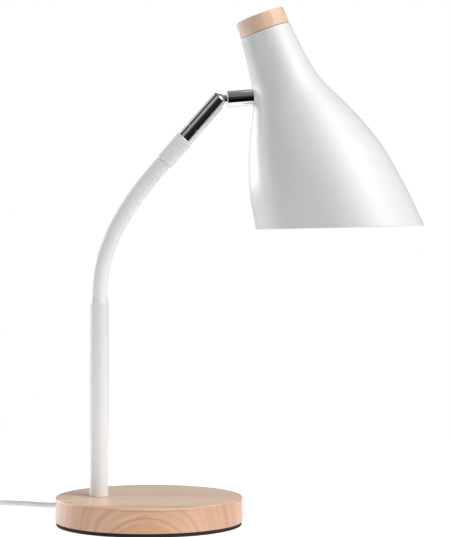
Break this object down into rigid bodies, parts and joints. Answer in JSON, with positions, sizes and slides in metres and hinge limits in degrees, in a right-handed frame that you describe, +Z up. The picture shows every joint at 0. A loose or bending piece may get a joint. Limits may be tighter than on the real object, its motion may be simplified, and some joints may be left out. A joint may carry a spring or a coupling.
{
  "type": "gooseneck desk lamp",
  "caption": "Desk lamp with a round wooden base, white post, flexible gooseneck, chrome ball joint and a spun bottle-shaped shade with a wooden cap.",
  "frame": {"origin": "centre of the base pad's underside, on the desk", "axes": "+Z up; +X from the post towards the head, across the picture to the right; +Y away from the viewer"},
  "size_m": [0.4617, 0.199, 0.439],
  "materials": {
    "base_oak": "satin",
    "cap_wood": "satin",
    "pad": "matte",
    "post_paint": "satin",
    "collar_paint": "gloss",
    "sleeve": "satin",
    "chrome": "polished",
    "steel": "plain",
    "brass": "plain",
    "shade_paint": "satin paint",
    "holder_plastic": "gloss",
    "ceramic": "matte",
    "bulb_cap": "plain",
    "bulb_body": "satin",
    "bulb_globe": "opal",
    "cord_white": "satin",
    "nylon": "matte",
    "tie": "matte",
    "switch_plastic": "satin",
    "rocker_plastic": "satin",
    "plug_plastic": "satin",
    "pin_metal": "nickel plated"
  },
  "bodies": {
    "base": {"base_wood": "base_oak", "ballast_plate": "steel", "base_screws": "steel", "base_pad": "pad", "cord_grip": "nylon", "strain_relief": "cord_white", "post_tube": "post_paint", "post_stud": "steel", "post_washer": "steel", "post_nut": "steel", "base_lead": "cord_white", "hose_foot": "steel", "cord_lead": "cord_white", "cord_mid": "cord_white", "cord_coil": "cord_white", "cord_tail": "cord_white", "coil_tie": "tie", "switch_lower": "switch_plastic", "switch_upper": "switch_plastic", "rocker_pin": "steel", "switch_screws": "steel", "plug_body": "plug_plastic", "plug_pins": "pin_metal"},
    "rocker": {"switch_rocker": "rocker_plastic"},
    "neck_1": {"hose_1": "steel", "sleeve_1": "sleeve"},
    "neck_2": {"hose_2": "steel", "sleeve_2": "sleeve"},
    "neck_3": {"hose_3": "steel", "sleeve_3": "sleeve"},
    "neck_4": {"hose_4": "steel", "sleeve_4": "sleeve"},
    "neck_5": {"hose_5": "steel", "sleeve_5": "sleeve"},
    "neck_6": {"hose_6": "steel", "sleeve_6": "sleeve"},
    "arm": {"neck_end": "steel", "sleeve_top": "sleeve", "collar": "collar_paint", "ferrule": "chrome", "swivel_clip": "steel"},
    "housing": {"joint_housing": "chrome", "ball_seat": "brass", "disc_springs": "steel"},
    "ball": {"ball_stud": "chrome", "stud_nut": "steel"},
    "head": {"stub_tube": "chrome", "stub_nipple": "steel", "stub_nut": "steel", "shade": "shade_paint", "top_cap": "cap_wood", "holder_nipple": "steel", "top_nut": "steel", "holder_cap": "holder_plastic", "holder_body": "holder_plastic", "holder_core": "ceramic", "holder_contacts": "brass", "bulb_cap": "bulb_cap", "bulb_base": "bulb_body", "bulb_globe": "bulb_globe"}
  },
  "joints": [
    {"name": "neck_bend_1", "type": "hinge", "parent": "base", "child": "neck_1", "pos_m": [-0.0425, 0, 0.1939], "axis": [0, 1, 0], "range_deg": [-10, 10]},
    {"name": "neck_side_1", "type": "hinge", "parent": "neck_1", "child": "neck_2", "pos_m": [-0.04068, 0, 0.21469], "axis": [0.9848, 0, -0.1736], "range_deg": [-10, 10]},
    {"name": "neck_bend_2", "type": "hinge", "parent": "neck_2", "child": "neck_3", "pos_m": [-0.03519, 0, 0.23483], "axis": [0, 1, 0], "range_deg": [-10, 10]},
    {"name": "neck_side_2", "type": "hinge", "parent": "neck_3", "child": "neck_4", "pos_m": [-0.02653, 0, 0.25383], "axis": [0.8788, 0, -0.4772], "range_deg": [-10, 10]},
    {"name": "neck_bend_3", "type": "hinge", "parent": "neck_4", "child": "neck_5", "pos_m": [-0.01569, 0, 0.27169], "axis": [0, 1, 0], "range_deg": [-10, 10]},
    {"name": "neck_side_3", "type": "hinge", "parent": "neck_5", "child": "neck_6", "pos_m": [-0.00334, 0, 0.28854], "axis": [0.7826, 0, -0.6225], "range_deg": [-10, 10]},
    {"name": "neck_bend_4", "type": "hinge", "parent": "neck_6", "child": "arm", "pos_m": [0.01009, 0, 0.30455], "axis": [0, 1, 0], "range_deg": [-10, 10]},
    {"name": "arm_swivel", "type": "hinge", "parent": "arm", "child": "housing", "pos_m": [0.05939, 0, 0.36028], "axis": [0.6626, 0, 0.749], "range_deg": [-150, 150]},
    {"name": "head_tilt", "type": "hinge", "parent": "housing", "child": "ball", "pos_m": [0.05939, 0, 0.36028], "axis": [0, 1, 0], "range_deg": [-40, 34]},
    {"name": "head_twist", "type": "hinge", "parent": "ball", "child": "head", "pos_m": [0.05939, 0, 0.36028], "axis": [0.9971, 0, 0.0767], "range_deg": [-150, 150]},
    {"name": "switch_rocker", "type": "hinge", "parent": "base", "child": "rocker", "pos_m": [-0.161, 0.049, 0.0138], "axis": [1, 0, 0], "range_deg": [0, 16]}
  ]
}
